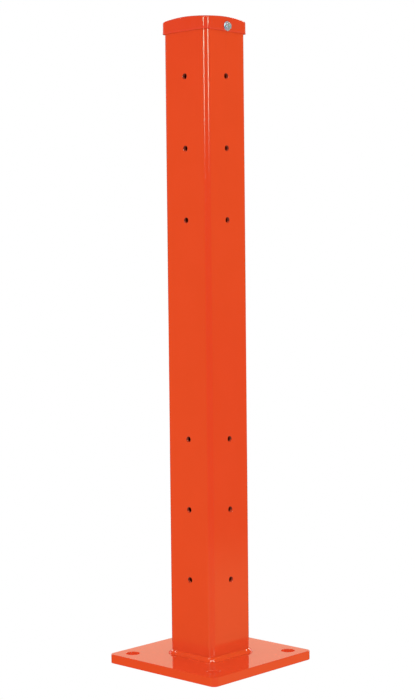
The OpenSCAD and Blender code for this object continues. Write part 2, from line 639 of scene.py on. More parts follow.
@dataclass(frozen=True)
class Plating:
    """A bright zinc plating with a faint play of blue and straw.

    Attributes:
        name: Name of the material.
        blue: Colour of its blue parts, linear.
        straw: Colour of its straw parts, linear.
        metal: Share of the surface that mirrors as bare metal does; the rest is dull.
        roughness: Mean roughness.
        patch: Length of the patches of colour.
        grain: Its fine grain.
        swing: Share by which the roughness strays.
        straw_range: Values of the patches' noise where blue ends and where straw is full.
    """

    name: str
    blue: Color
    straw: Color
    metal: float
    roughness: float
    patch: float
    grain: Relief
    swing: float = 0.25
    straw_range: Point = (0.4, 0.62)

    def material(self, effects: Effects) -> bpy.types.Material:
        """Builds the plating's material.

        Args:
            effects: The shared effects.

        Returns:
            The material.
        """
        material, sheet = blank_material(self.name)
        patches = sheet.noise(self.patch, 2.0)
        smoother = self.roughness * (1 - self.swing)
        rougher = self.roughness * (1 + self.swing)
        inputs = {
            "Base Color": sheet.mix(sheet.ramp(patches, *self.straw_range), self.blue, self.straw),
            "Metallic": self.metal,
            "Roughness": sheet.ramp(patches, *NOISE_RANGE, smoother, rougher),
            "Normal": uneven(sheet, effects, Relief(self.patch, 0.0), self.grain),
        }
        sheet.surface("ShaderNodeBsdfPrincipled", inputs)
        return material


POWDER_COAT = Skin(
    name="gloss_orange_powder_coat",
    color=(0.79, 0.0585, 0.0152),
    roughness=0.08,
    wave=Relief(6 * MM, 0.0025 * MM),
    grain=Relief(1.6 * MM, 0.001 * MM),
    cloud_length=60 * MM,
    cloud_strength=0.02,
)
# Painted light: the weld's coat is lighter than the tube's, to lift the shade that falls in the fillet.
LIGHTENED_COAT_ON_WELD = replace(POWDER_COAT, name="gloss_orange_powder_coat_lightened_on_weld", color=(0.87, 0.066, 0.0165))
# Painted shade in the holes' walls, lighter where they face up as painted light from above.
HOLE_SHADE_AND_LIGHT_COAT = replace(
    POWDER_COAT,
    name="orange_coat_with_painted_shade_and_light_in_holes",
    color=(0.36, 0.07, 0.04),
    bounce=(0.60, 0.25, 0.20),
    roughness=0.3,
    cloud_length=2 * MM,
    cloud_strength=0.2,
    top_lit_color=(1.0, 0.11, 0.045),
)
CAP_PLASTIC = Skin(
    name="gloss_orange_moulding",
    color=(0.78, 0.048, 0.0125),
    roughness=0.16,
    wave=Relief(12 * MM, 0.006 * MM),
    grain=Relief(0.9 * MM, 0.0006 * MM),
    cloud_length=30 * MM,
    cloud_strength=0.015,
)
ZINC_PLATE = Plating(
    name="bright_zinc_plating",
    blue=(0.44, 0.59, 0.72),
    straw=(0.68, 0.73, 0.80),
    metal=0.6,
    roughness=0.24,
    patch=3.5 * MM,
    grain=Relief(0.6 * MM, 0.0015 * MM),
)


def dress(piece: bpy.types.Object, materials: Sequence[bpy.types.Material], node: Node) -> None:
    """Gives a piece its finish, joins it to the post's body and hides the construction piece that it stands
    for.

    Args:
        piece: The dressed mesh.
        materials: Its finishes, in the order that its faces count them.
        node: The construction piece that it replaces.
    """
    for material in materials:
        piece.data.materials.append(material)
    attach(piece, BODY)
    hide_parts(node.value)
    log.info("%s: %d faces", piece.name, len(piece.data.polygons))


@dataclass
class BasePlate:
    """Square plate with four anchor holes, its cut edges rounded over by the coat.

    Attributes:
        corner_r: Radius of the plate's corners.
        hole_r: Radius of an anchor hole.
        hole_inset: Distance from a hole's centre to the two edges beside it.
        edge_r: Rounding of the outer edges.
        rim_r: Rounding of the holes' edges.
        arc_steps: Steps along each corner's arc.
        hole_steps: Steps round each hole.
        round_steps: Steps through each rounded edge.
    """

    corner_r: float = 10 * MM
    hole_r: float = 12 * MM
    hole_inset: float = 30 * MM
    edge_r: float = 0.9 * MM
    rim_r: float = 0.6 * MM
    arc_steps: int = 12
    hole_steps: int = 64
    round_steps: int = 4

    def build(self, coat: bpy.types.Material) -> bpy.types.Object:
        """Builds and dresses the plate.

        Args:
            coat: The powder coat.

        Returns:
            The plate.
        """
        half = Node.BASE_PLATE.high().x
        reach = half - self.hole_inset
        draft = MeshDraft()
        edge = [
            draft.level(rounded_square(half - inset, self.corner_r - inset, self.arc_steps), z)
            for inset, z in self.profile(self.edge_r)
        ]
        walls = [edge]
        for centre in ((reach, reach), (-reach, reach), (-reach, -reach), (reach, -reach)):
            walls.append(
                [
                    draft.level(circle(self.hole_r + inset, self.hole_steps, centre), z)
                    for inset, z in self.profile(self.rim_r)
                ]
            )
        for wall in walls:
            draft.bridge_all(wall)
        draft.fill([wall[-1] for wall in walls], UP)
        draft.fill([wall[0] for wall in walls], -UP)
        piece = draft.piece("painted_base_plate")
        dress(piece, [coat], Node.BASE_PLATE)
        return piece

    def profile(self, radius: float) -> list[Point]:
        """Shapes a wall of the plate between its two rounded edges.

        Args:
            radius: Rounding of the edges.

        Returns:
            How far the wall stands back and at what height, from the underside up to the top.
        """
        top = Node.BASE_PLATE.high().z
        turn = quarter_round(self.round_steps)
        lower = [(radius * (1 - along), radius * back) for along, back in turn]
        return lower + [(inset, top - rise) for inset, rise in reversed(lower)]


@dataclass(frozen=True)
class Hole:
    """A round hole in a side of the tube.

    Attributes:
        height: Height of its centre above the floor.
        radius: Its radius.
        rim_r: Rounding of its outer edge; a hole without one is cut clean through.
    """

    height: float
    radius: float
    rim_r: float = 0.0


# The burr at a hole's inner edge: how far it stands in from the hole's wall, and how far it is from the inner
# side of the tube's wall, both in heights of the burr.
BURR_PROFILE = ((0.0, 2.4), (0.6, 1.1), (1.0, 0.3), (1.0, 0.0))


@dataclass
class PostTube:
    """Square tube, drilled on its front and right faces, with the coat rolled over the holes' edges.

    Attributes:
        corner_r: Outside radius of the tube's corners.
        wall: Thickness of its wall.
        hole_r: Radius of a rail bolt hole.
        hole_pitch: Distance between neighbouring holes of a group.
        hole_count: Number of holes in a group.
        lower_rail: Height of the lower group's middle above the foot of the tube.
        upper_drop: Drop from the tube's upper end to the upper group's middle.
        rim_r: Rounding of the holes' outer edges.
        burr: Height of the drill's burr at the holes' inner edges.
        right_side: Number of the right side, counted from +X counter-clockwise.
        front_side: Number of the front side, counted likewise.
        arc_steps: Steps along each corner's arc.
        hole_steps: Steps round each hole.
        round_steps: Steps through each rounded edge.
    """

    corner_r: float = 9.5 * MM
    wall: float = 4.8 * MM
    hole_r: float = 5 * MM
    hole_pitch: float = 123 * MM
    hole_count: int = 3
    lower_rail: float = 259.1 * MM
    upper_drop: float = 216.4 * MM
    rim_r: float = 0.6 * MM
    burr: float = 0.4 * MM
    right_side: int = 0
    front_side: int = 3
    arc_steps: int = 16
    hole_steps: int = 40
    round_steps: int = 3

    def bolt_holes(self) -> list[Hole]:
        """Places the bolt holes of one drilled side.

        Returns:
            The holes, from the lowest up.
        """
        middles = (Node.POST_TUBE.low().z + self.lower_rail, Node.POST_TUBE.high().z - self.upper_drop)
        offsets = [(i - (self.hole_count - 1) / 2) * self.hole_pitch for i in range(self.hole_count)]
        return [Hole(middle + offset, self.hole_r, self.rim_r) for middle in middles for offset in offsets]

    def build(
        self, coat: bpy.types.Material, hole_shade_and_light_coat: bpy.types.Material, screw_hole: Hole
    ) -> bpy.types.Object:
        """Builds and dresses the tube.

        Args:
            coat: The powder coat.
            hole_shade_and_light_coat: Coat of the holes' walls, with painted shade and light.
            screw_hole: The cap screw's hole, in the right side.

        Returns:
            The tube.
        """
        ends = (Node.POST_TUBE.low().z, Node.POST_TUBE.high().z)
        half = Node.POST_TUBE.high().x
        draft = MeshDraft()
        outside = rounded_square(half, self.corner_r, self.arc_steps)
        inside = rounded_square(half - self.wall, self.corner_r - self.wall, self.arc_steps)
        outer_ends = [draft.level(outside, z) for z in ends]
        inner_ends = [draft.level(inside, z) for z in ends]
        for lower, upper in (outer_ends, inner_ends):
            self.arcs(draft, lower, upper)
        for outer, inner in zip(outer_ends, inner_ends):
            draft.bridge(outer, inner)
        bolt_holes = self.bolt_holes()
        drilled = {self.front_side: bolt_holes, self.right_side: [*bolt_holes, screw_hole]}
        for side in range(4):
            self.panel(draft, side, half, outer_ends, inner_ends, drilled.get(side, []))
        piece = draft.piece("painted_post_tube")
        dress(piece, [coat, hole_shade_and_light_coat], Node.POST_TUBE)
        return piece

    def arcs(self, draft: MeshDraft, lower: Loop, upper: Loop) -> None:
        """Joins the four rounded corners of two loops, and leaves the flat sides open.

        Args:
            draft: The tube's draft.
            lower: The loop at the foot.
            upper: The loop at the upper end.
        """
        for i in range(len(lower)):
            if i % (self.arc_steps + 1) == self.arc_steps:
                continue
            j = (i + 1) % len(lower)
            draft.bm.faces.new((lower[i], lower[j], upper[j], upper[i]))

    def panel(
        self,
        draft: MeshDraft,
        side: int,
        half: float,
        outer_ends: list[Loop],
        inner_ends: list[Loop],
        holes: list[Hole],
    ) -> None:
        """Fills one flat side of the tube, outside and inside, and lines its holes.

        Args:
            draft: The tube's draft.
            side: Which side, counted from +X counter-clockwise.
            half: Half the tube's width.
            outer_ends: The outside loops at the foot and at the upper end.
            inner_ends: The inside loops at the foot and at the upper end.
            holes: The side's holes.
        """
        turn = Matrix.Rotation(QUARTER_TURN * side, 3, "Z")
        outer_rims: list[Loop] = []
        inner_rims: list[Loop] = []
        for hole in holes:
            walls = [
                draft.loop(
                    circle(hole.radius + flare, self.hole_steps),
                    lambda y, z, depth=depth: turn @ Vector((half - depth, y, hole.height + z)),
                )
                for flare, depth in self.hole_profile(hole.rim_r)
            ]
            middle = len(walls) // 2
            draft.bridge_all(walls[:middle])
            # The inner part of each hole's wall takes the coat with painted shade and light.
            draft.bridge_all(walls[middle - 1 :], finish=1)
            outer_rims.append(walls[0])
            inner_rims.append(walls[-1])
        facing = turn @ Vector((1, 0, 0))
        draft.fill([self.side_loop(side, outer_ends), *outer_rims], facing)
        draft.fill([self.side_loop(side, inner_ends), *inner_rims], -facing)

    def side_loop(self, side: int, ends: list[Loop]) -> Loop:
        """Finds the four corners of a flat side.

        Args:
            side: Which side, counted from +X counter-clockwise.
            ends: The loops at the foot and at the upper end.

        Returns:
            The corners, in order round the side.
        """
        lower, upper = ends
        start = (side * (self.arc_steps + 1)) % len(lower)
        return [lower[start - 1], lower[start], upper[start], upper[start - 1]]

    def hole_profile(self, rim_r: float) -> list[Point]:
        """Shapes the wall of a hole.

        Args:
            rim_r: Rounding of the hole's outer edge.

        Returns:
            How far the wall flares and at what depth, from the outside in.
        """
        if rim_r == 0:
            return [(0.0, 0.0), (0.0, self.wall)]
        outer = [(rim_r * (1 - along), rim_r * back) for along, back in quarter_round(self.round_steps)]
        inner = [(-self.burr * stand, self.wall - self.burr * short) for stand, short in BURR_PROFILE]
        return outer + inner


@dataclass(frozen=True)
class FootPath:
    """The tube's outline at its foot, followed counter-clockwise from the middle of the +X side.

    Attributes:
        half: Half the tube's width.
        corner_r: Radius of its corners.
    """

    half: float
    corner_r: float

    def flat(self) -> float:
        """Returns the length of a side's straight half."""
        return self.half - self.corner_r

    def arc(self) -> float:
        """Returns the length of a corner's arc."""
        return QUARTER_TURN * self.corner_r

    def quarter(self) -> float:
        """Returns the length of a quarter of the outline, from the middle of one side to that of the next."""
        return 2 * self.flat() + self.arc()

    def split(self, along: float) -> tuple[float, float]:
        """Returns which quarter of the outline a distance along it is in, and how far into that quarter."""
        return divmod(along, self.quarter())

    def past_corner(self, along: float) -> float:
        """Returns how far outside the nearest corner's arc a place is, along the outline."""
        _, into = self.split(along)
        return abs(into - self.flat() - self.arc() / 2) - self.arc() / 2

    def place(self, along: float) -> tuple[Vector, Vector]:
        """Finds a place on the outline.

        Args:
            along: Its distance along the outline.

        Returns:
            The place, at height 0, and the direction straight out of the tube there.
        """
        quarter, into = self.split(along)
        flat = self.flat()
        if into < flat:
            spot, angle = Vector((self.half, into, 0)), 0.0
        elif into < flat + self.arc():
            angle = (into - flat) / self.corner_r
            spot = Vector((flat + self.corner_r * math.cos(angle), flat + self.corner_r * math.sin(angle), 0))
        else:
            spot, angle = Vector((self.quarter() - into, self.half, 0)), QUARTER_TURN
        turn = Matrix.Rotation(QUARTER_TURN * quarter, 3, "Z")
        return turn @ spot, turn @ Vector((math.cos(angle), math.sin(angle), 0))


# The weld's slow wander as a sum of waves: how many of each there are round the post, its phase in radians
# and its share.
WANDER_WAVES = ((3, 1.1, 1.0), (11, 0.4, 0.6), (29, 0.0, 0.4))


@dataclass
class BaseWeld:
    """Fillet weld round the foot of the tube, laid as a bead of overlapping ripples.

    Attributes:
        corner_r: Outside radius of the tube's corners.
        bulge: Height of the bead's bulge over a flat fillet.
        ripple_pitch: Distance between ripples.
        ripple_height: Height of a ripple.
        ripple_sweep: How many ripples the middle of the bead runs ahead of its edges.
        ripple_front: Share of a ripple's length over which its front rises.
        wander: Share by which the bead's leg strays.
        stop_at: Distance from a corner's arc to the lump where a run of the weld starts or stops.
        stop_w: Half the length of that lump.
        stop_height: Height of that lump.
        steps_per_ripple: Sections along each ripple.
        section_steps: Steps across the bead.
    """

    corner_r: float = 9.5 * MM
    bulge: float = 0.45 * MM
    ripple_pitch: float = 3.4 * MM
    ripple_height: float = 0.18 * MM
    ripple_sweep: float = 0.8
    ripple_front: float = 0.18
    wander: float = 0.035
    stop_at: float = 8.4 * MM
    stop_w: float = 2.6 * MM
    stop_height: float = 0.75 * MM
    steps_per_ripple: int = 7
    section_steps: int = 14

    def build(self, coat: bpy.types.Material) -> bpy.types.Object:
        """Builds and dresses the weld.

        Args:
            coat: The powder coat, lightened as painted light against the shade in the fillet.

        Returns:
            The weld.
        """
        foot = Node.BASE_WELD.low().z
        leg = Node.BASE_WELD.high().z - foot
        path = FootPath(Node.POST_TUBE.high().x, self.corner_r)
        around = 4 * path.quarter()
        count = round(around / self.ripple_pitch) * self.steps_per_ripple
        draft = MeshDraft()
        sections = []
        for i in range(count):
            along = around * i / count
            spot, out = path.place(along)
            lump = self.lump(path, along)
            points = self.section(leg, i / self.steps_per_ripple, math.tau * i / count, lump)
            sections.append([draft.bm.verts.new(spot + out * x + UP * (foot + z)) for x, z in points])
        draft.bridge_all(sections + sections[:1])
        piece = draft.piece("painted_base_weld", even_normals=False)
        dress(piece, [coat], Node.BASE_WELD)
        return piece

    def lump(self, path: FootPath, along: float) -> float:
        """Finds how much higher the bead is where a run starts or stops, beside two opposite corners.

        Args:
            path: The tube's outline.
            along: The place, as a distance along the outline.

        Returns:
            The lump's height at the place.
        """
        quarter, _ = path.split(along)
        if quarter % 2:
            return 0.0
        off = path.past_corner(along) - self.stop_at
        return self.stop_height * math.exp(-((off / self.stop_w) ** 2))

    def section(self, leg: float, ripple: float, heading: float, lump: float) -> list[Point]:
        """Shapes the bead's section at one place.

        Args:
            leg: Leg of the plain fillet.
            ripple: How many ripples along the bead the place is.
            heading: The place as an angle round the post, which the slow wander follows.
            lump: Height of a lump in the upper half of the section.

        Returns:
            The section's points out from the tube and up from the plate, ending in its hidden corner.
        """
        stray = sum(share * math.sin(waves * heading + phase) for waves, phase, share in WANDER_WAVES)
        local_leg = leg * (1 - self.wander * (1 + stray / 2))
        points = []
        for i in range(self.section_steps + 1):
            t = i / self.section_steps
            arch = math.sin(math.pi * t)
            phase = (ripple + self.ripple_sweep * arch) % 1.0
            crest = (1 - phase) * min(1.0, phase / self.ripple_front)
            swell = self.bulge * arch
            swell += self.ripple_height * (crest - 1) * math.sqrt(arch)
            swell += lump * math.sin(math.pi * t * t)
            swell /= math.sqrt(2)
            points.append((local_leg * (1 - t) + swell, local_leg * t + swell))
        return [*points, (0.0, 0.0)]


@dataclass(frozen=True)
class Dome:
    """The upper part of a sphere whose middle is on the post's axis.

    Attributes:
        radius: Radius of the sphere.
        centre: Height of its middle.
    """

    radius: float
    centre: float

    def over(self, x: float, y: float) -> Vector:
        """Returns the dome's point over a place of the plan."""
        return Vector((x, y, self.centre + math.sqrt(self.radius**2 - x * x - y * y)))

    def top(self) -> Vector:
        """Returns the dome's highest point."""
        return self.over(0.0, 0.0)

    def sunk(self, drop: float) -> Dome:
        """Returns the same dome a little lower."""
        return Dome(self.radius, self.centre - drop)


@dataclass
class PostCap:
    """Moulded slip-over cap: a crowned top and a short skirt, hollow inside.

    Attributes:
        corner_r: Outside radius of the cap's corners.
        skirt_t: Thickness of the skirt.
        edge_r: Rounding between skirt and crown.
        lip_r: Rounding of the skirt's lower edges.
        flare: How far the skirt's lower edge flares out.
        flare_h: Height over which it flares.
        crown_rise: Rise of the crown from the cap's corners to its middle.
        roof_t: Thickness of the crown's roof.
        ledge_w: Width of the ledge that rests on the tube's end.
        bore_corner_r: Corner radius of the hollow inside the ledge.
        arc_steps: Steps along each corner's arc.
        side_steps: Steps along each straight side.
        lip_steps: Steps through each of the skirt's lower edges.
        flare_steps: Steps up the flare.
        round_steps: Steps through the edge between skirt and crown.
        crown_steps: Steps from the crown's edge to its middle.
    """

    corner_r: float = 10.5 * MM
    skirt_t: float = 2.5 * MM
    edge_r: float = 2.5 * MM
    lip_r: float = 0.3 * MM
    flare: float = 0.45 * MM
    flare_h: float = 5.5 * MM
    crown_rise: float = 8.1 * MM
    roof_t: float = 3.0 * MM
    ledge_w: float = 4.8 * MM
    bore_corner_r: float = 4.7 * MM
    arc_steps: int = 16
    side_steps: int = 12
    lip_steps: int = 3
    flare_steps: int = 5
    round_steps: int = 8
    crown_steps: int = 14

    def build(self, plastic: bpy.types.Material) -> bpy.types.Object:
        """Builds and dresses the cap.

        Args:
            plastic: The cap's plastic.

        Returns:
            The cap.
        """
        draft = MeshDraft()
        crown = self.crown()
        skirt = self.skirt(draft)
        edge = [
            draft.loop(self.outline(self.edge_r * back), crown.sunk(self.edge_r * (1 - along)).over)
            for along, back in quarter_round(self.round_steps)
        ]
        draft.bridge_all([*skirt, *edge, *self.dome_loops(draft, self.outline(self.edge_r), crown)])

        tube_end = Node.POST_TUBE.high()
        bore = tube_end.x - self.ledge_w
        wall = rounded_square(bore, self.bore_corner_r, self.arc_steps, self.side_steps)
        ceiling = Dome(crown.radius - self.roof_t, crown.centre)
        ledge = [draft.level(self.outline(self.skirt_t), tube_end.z), draft.level(wall, tube_end.z)]
        hollow = [draft.loop(wall, ceiling.over), *self.dome_loops(draft, wall, ceiling)]
        draft.bridge_all([skirt[0], *ledge, *hollow])
        piece = draft.piece("moulded_post_cap")
        dress(piece, [plastic], Node.POST_CAP)
        return piece

    def outline(self, inset: float) -> list[Point]:
        """Returns the cap's outline, set in by a distance all round."""
        half = Node.POST_CAP.high().x
        return rounded_square(half - inset, self.corner_r - inset, self.arc_steps, self.side_steps)

    def crown(self) -> Dome:
        """Shapes the crown, whose middle is crown_rise higher than the outline's corners.

        Returns:
            The crown's dome.
        """
        high = Node.POST_CAP.high()
        reach = (high.x - self.corner_r) * math.sqrt(2) + self.corner_r
        radius = (reach**2 + self.crown_rise**2) / (2 * self.crown_rise)
        return Dome(radius, high.z - radius)

    def skirt(self, draft: MeshDraft) -> list[Loop]:
        """Lays the loops of the skirt, from its inner lower edge round its lip and up its flare.

        Args:
            draft: The cap's draft.

        Returns:
            The loops.
        """
        foot = Node.POST_CAP.low().z
        lip = quarter_round(self.lip_steps)
        inner = [(self.skirt_t - self.lip_r * back, self.lip_r * (1 - along)) for along, back in lip]
        outer = [(self.lip_r * (1 - along) - self.flare, self.lip_r * back) for along, back in lip]
        shares = [1 - i / self.flare_steps for i in range(1, self.flare_steps + 1)]
        flared = [(-self.flare * share**2, self.lip_r + self.flare_h * (1 - share)) for share in shares]
        return [draft.level(self.outline(inset), foot + rise) for inset, rise in (*inner, *outer, *flared)]

    def dome_loops(self, draft: MeshDraft, rim: list[Point], dome: Dome) -> list[Loop]:
        """Lays ever smaller loops on a dome inside its rim, and closes the last one at the dome's top.

        Args:
            draft: The cap's draft.
            rim: The outline of the dome's rim.
            dome: The dome.

        Returns:
            The loops, without the rim's own.
        """
        shares = [1 - i / self.crown_steps for i in range(1, self.crown_steps)]
        loops = [draft.loop([(x * share, y * share) for x, y in rim], dome.over) for share in shares]
        draft.fan(loops[-1], dome.top())
        return loops


# The lower edge of the washer face's rim: how far it stands back and its height, in shares of its rounding.
RIM_UNDER = ((1.0, 0.0), (0.3, 0.3), (0.0, 1.0))

# Its upper edge: how far it stands back, and its depth under the upper side, in the same shares.
RIM_OVER = ((0.15, 0.4), (0.8, 0.0))


@dataclass
class CapScrew:
    """Hexagon washer-head screw with a dished top and a rolled thread, its axis along X.

    Attributes:
        shank_r: Radius over the thread.
        thread_pitch: Pitch of the thread.
        thread_depth: Depth of the thread.
        ridge_share: Width of the thread's ridge as a share of its pitch.
        run_in: Number of turns over which the thread grows to its full depth.
        point: Length of the tapered point.
        blunt: Radius of the point's end as a share of the shank's.
        tip: Length of the point's flat end, which has no thread.
        neck: How much wider the shank is where it meets the head.
        flange_t: Thickness of the washer face at its rim.
        flange_lip: Rounding of the washer face's rim.
        across_flats: Width of the hexagon across its flats.
        root_w: Width of the fillet round the hexagon's foot, from its corners.
        root_h: Height of that fillet over the washer face.
        root_fade: Height over which the fillet runs out into the hexagon's sides.
        head_h: Height of the head from the cap's face to its top.
        ease: Rounding of the hexagon's and the dish's edges.
        chamfer_w: Width of the chamfer, from the middle of a side to the flat top.
        chamfer_slope: Slope of the chamfer, in degrees.
        bevel: Width of the rounding on both sides of the chamfer.
        bevel_low: How far that rounding sinks the chamfer's lower edge.
        bevel_high: How far it sinks the chamfer's upper edge.
        dish_r: Radius of the dish in the top.
        dish_t: Depth of the dish.
        dish_lip: Width of the rounding round the dish.
        dish_wall: Steps down the dish's wall, each with its distance from the dish's edge and its share of
            the depth.
        hole_r: Radius of the hole that the screw goes through.
        steps: Steps round the axis.
        turn_steps: Loops along each turn of the thread.
    """

    shank_r: float = 3.0 * MM
    thread_pitch: float = 1.4 * MM
    thread_depth: float = 0.45 * MM
    ridge_share: float = 0.625
    run_in: float = 2.0
    point: float = 4.0 * MM
    blunt: float = 0.05
    tip: float = 0.1 * MM
    neck: float = 0.3 * MM
    flange_t: float = 1.2 * MM
    flange_lip: float = 0.35 * MM
    across_flats: float = 11.0 * MM
    root_w: float = 0.45 * MM
    root_h: float = 0.33 * MM
    root_fade: float = 0.25 * MM
    head_h: float = 5.6 * MM
    ease: float = 0.12 * MM
    chamfer_w: float = 0.25 * MM
    chamfer_slope: float = 30.0
    bevel: float = 0.15 * MM
    bevel_low: float = 0.02 * MM
    bevel_high: float = 0.03 * MM
    dish_r: float = 3.25 * MM
    dish_t: float = 0.8 * MM
    dish_lip: float = 0.2 * MM
    dish_wall: tuple[Point, ...] = ((0.5 * MM, 0.75), (1.2 * MM, 1.0))
    hole_r: float = 3.1 * MM
    steps: int = 72
    turn_steps: int = 8

    def height(self) -> float:
        """Returns the height of the screw's axis above the floor."""
        return (Node.CAP_SCREW.low().z + Node.CAP_SCREW.high().z) / 2

    def seat(self) -> Vector:
        """Returns the place where the screw's axis meets the cap's face."""
        return Vector((Node.POST_CAP.high().x, 0, self.height()))

    def hole(self) -> Hole:
        """Returns the hole that the screw goes through."""
        return Hole(self.height(), self.hole_r)

    def build(self, plating: bpy.types.Material) -> bpy.types.Object:
        """Builds and dresses the screw.

        Args:
            plating: The zinc plating.

        Returns:
            The screw.
        """
        seat = self.seat()
        length = seat.x - Node.CAP_SCREW.low().x
        draft = MeshDraft()
        flange = [self.even_ring(draft, *row) for row in self.flange_rows()]
        hexagon = [self.ring(draft, shape) for shape in self.hexagon_shapes()]
        dish = [self.even_ring(draft, *row) for row in self.dish_rows()]
        draft.bridge_all([*flange, *hexagon, *dish])
        draft.fan(dish[-1], seat + Vector((self.head_h - self.dish_t, 0, 0)))
        neck = self.even_ring(draft, self.shank_r + self.neck, 0.0)
        thread = [
            self.ring(draft, lambda angle, depth=depth: (self.thread_r(depth, angle, length), -depth))
            for depth in self.thread_depths(length)
        ]
        draft.bridge_all([flange[0], neck, *thread])
        draft.fan(thread[-1], seat - Vector((length, 0, 0)))
        piece = draft.piece("plated_cap_screw")
        dress(piece, [plating], Node.CAP_SCREW)
        return piece

    def ring(self, draft: MeshDraft, shape: Turned) -> Loop:
        """Adds a loop round the axis.

        Args:
            draft: The screw's draft.
            shape: Gives the radius and the height over the seat at an angle round the axis.

        Returns:
            The loop.
        """
        seat = self.seat()
        loop = []
        for i in range(self.steps):
            angle = math.tau * i / self.steps
            radius, out = shape(angle)
            spot = seat + Vector((out, radius * math.cos(angle), radius * math.sin(angle)))
            loop.append(draft.bm.verts.new(spot))
        return loop

    def even_ring(self, draft: MeshDraft, radius: float, out: float) -> Loop:
        """Adds a round loop of one radius at one height over the seat."""
        return self.ring(draft, lambda _: (radius, out))

    def flange_rows(self) -> list[Point]:
        """Shapes the washer face.

        Returns:
            The radius and the height of its loops, from the seat round its rim and in to the fillet.
        """
        rim = (Node.CAP_SCREW.high().z - Node.CAP_SCREW.low().z) / 2
        lip = self.flange_lip
        under = [(rim - lip * back, lip * rise) for back, rise in RIM_UNDER]
        over = [(rim - lip * back, self.flange_t - lip * drop) for back, drop in RIM_OVER]
        return [*under, *over, (self.corner_reach() + self.root_w, self.flange_t + self.root_h - self.ease)]

    def hexagon_shapes(self) -> list[Turned]:
        """Shapes the hexagon.

        Returns:
            Its loops from the fillet to the flat top, each as a radius and a height that follow the angle.
        """
        root = self.flange_t + self.root_h
        return [
            lambda a: (self.side_r(a) + self.ease, root),
            lambda a: (self.side_r(a), root + self.root_fade),
            lambda a: (self.side_r(a), self.chamfer_h(a, 0.0) - self.bevel),
            lambda a: (self.side_r(a) - self.ease, self.chamfer_h(a, self.ease) - self.bevel_low),
            lambda _: (self.top_r(), self.head_h - self.bevel_high),
            lambda _: (self.top_r() - self.bevel, self.head_h),
        ]

    def dish_rows(self) -> list[Point]:
        """Shapes the dish.

        Returns:
            The radius and the height of its loops, from the flat top over its edge and across its floor.
        """
        edge = [(self.dish_r + self.dish_lip, self.head_h), (self.dish_r, self.head_h - self.ease)]
        wall = [(self.dish_r - step, self.head_h - self.dish_t * depth) for step, depth in self.dish_wall]
        return [*edge, *wall, (self.dish_r / 4, self.head_h - self.dish_t)]

    def corner_reach(self) -> float:
        """Returns the distance from the axis to the hexagon's sharp corners."""
        return self.across_flats / 2 / math.cos(HALF_HEX_SIDE)

    def side_r(self, angle: float) -> float:
        """Returns the distance from the axis to the hexagon's sides, with the corners eased."""
        off_middle = (angle + HALF_HEX_SIDE) % (2 * HALF_HEX_SIDE) - HALF_HEX_SIDE
        return min(self.across_flats / 2 / math.cos(off_middle), self.corner_reach() - self.ease)

    def top_r(self) -> float:
        """Returns the radius of the head's flat top."""
        return self.across_flats / 2 - self.chamfer_w

    def chamfer_h(self, angle: float, inset: float) -> float:
        """Returns the chamfer's height over the seat, a little in from the hexagon's side."""
        out = max(0.0, self.side_r(angle) - inset - self.top_r())
        return self.head_h - out * math.tan(math.radians(self.chamfer_slope))

    def thread_depths(self, length: float) -> list[float]:
        """Returns the depths of the thread's loops under the seat."""
        step = self.thread_pitch / self.turn_steps
        return [step * (i + 0.5) for i in range(int((length - self.tip) / step))]

    def thread_r(self, depth: float, angle: float, length: float) -> float:
        """Finds the thread's radius at one place.

        Args:
            depth: Depth of the place under the seat.
            angle: Its angle round the axis.
            length: Length of the shank.

        Returns:
            The radius.
        """
        phase = (depth / self.thread_pitch + angle / math.tau) % 1.0
        ridge = max(0.0, 1 - abs(phase - 0.5) * 2 / self.ridge_share)
        start = min(1.0, depth / (self.run_in * self.thread_pitch))
        plain = self.shank_r - self.thread_depth * (1 - ridge * start)
        return plain * min(1.0, max(self.blunt, (length - depth) / self.point))


@dataclass(frozen=True)
class SoftBox:
    """One soft light or card of the studio, as the directions that it fills, in degrees.

    Attributes:
        color: Radiance.
        azimuth: Direction of its middle, from -Y towards +X.
        half_width: Half its width.
        low: Elevation of its lower edge, where it starts to show.
        high: Elevation where its upper edge starts to fade.
        side_fade: Half the width of its side edges' fade.
        low_fade: Height of its lower edge's fade.
        high_fade: Height of its upper edge's fade.
    """

    color: Color
    azimuth: float
    half_width: float
    low: float = -90.0
    high: float = 90.0
    side_fade: float = 3.0
    low_fade: float = 5.0
    high_fade: float = 5.0

    def mask(self, sheet: Sheet, effects: Effects, direction: bpy.types.NodeSocket) -> bpy.types.NodeSocket:
        """Finds how much of the box shows in a direction.

        Args:
            sheet: The world's nodes.
            effects: The shared effects.
            direction: The direction.

        Returns:
            The share, from 0 to 1.
        """
        inputs = {
            "Direction": direction,
            "Azimuth": self.azimuth,
            "Half Width": self.half_width,
            "Side Fade": self.side_fade,
            "Low": self.low,
            "Low Fade": self.low_fade,
            "High": self.high,
            "High Fade": self.high_fade,
        }
        return effects.soft_box.place(sheet, inputs)["Mask"]


@dataclass(frozen=True)
class Surroundings:
    """A sphere of soft light round the post.

    Attributes:
        ambient: Radiance where no box is.
        boxes: The lights and cards.
    """

    ambient: Color
    boxes: tuple[SoftBox, ...]

    def radiance(
        self, sheet: Sheet, effects: Effects, direction: bpy.types.NodeSocket
    ) -> bpy.types.NodeSocket:
        """Adds up the light from a direction.

        Args:
            sheet: The world's nodes.
            effects: The shared effects.
            direction: The direction.

        Returns:
            The radiance.
        """
        total: Value = self.ambient
        for box in self.boxes:
            mask = box.mask(sheet, effects, direction)
            total = sheet.vector("MULTIPLY_ADD", {0: box.color, 1: mask, 2: total})
        return total


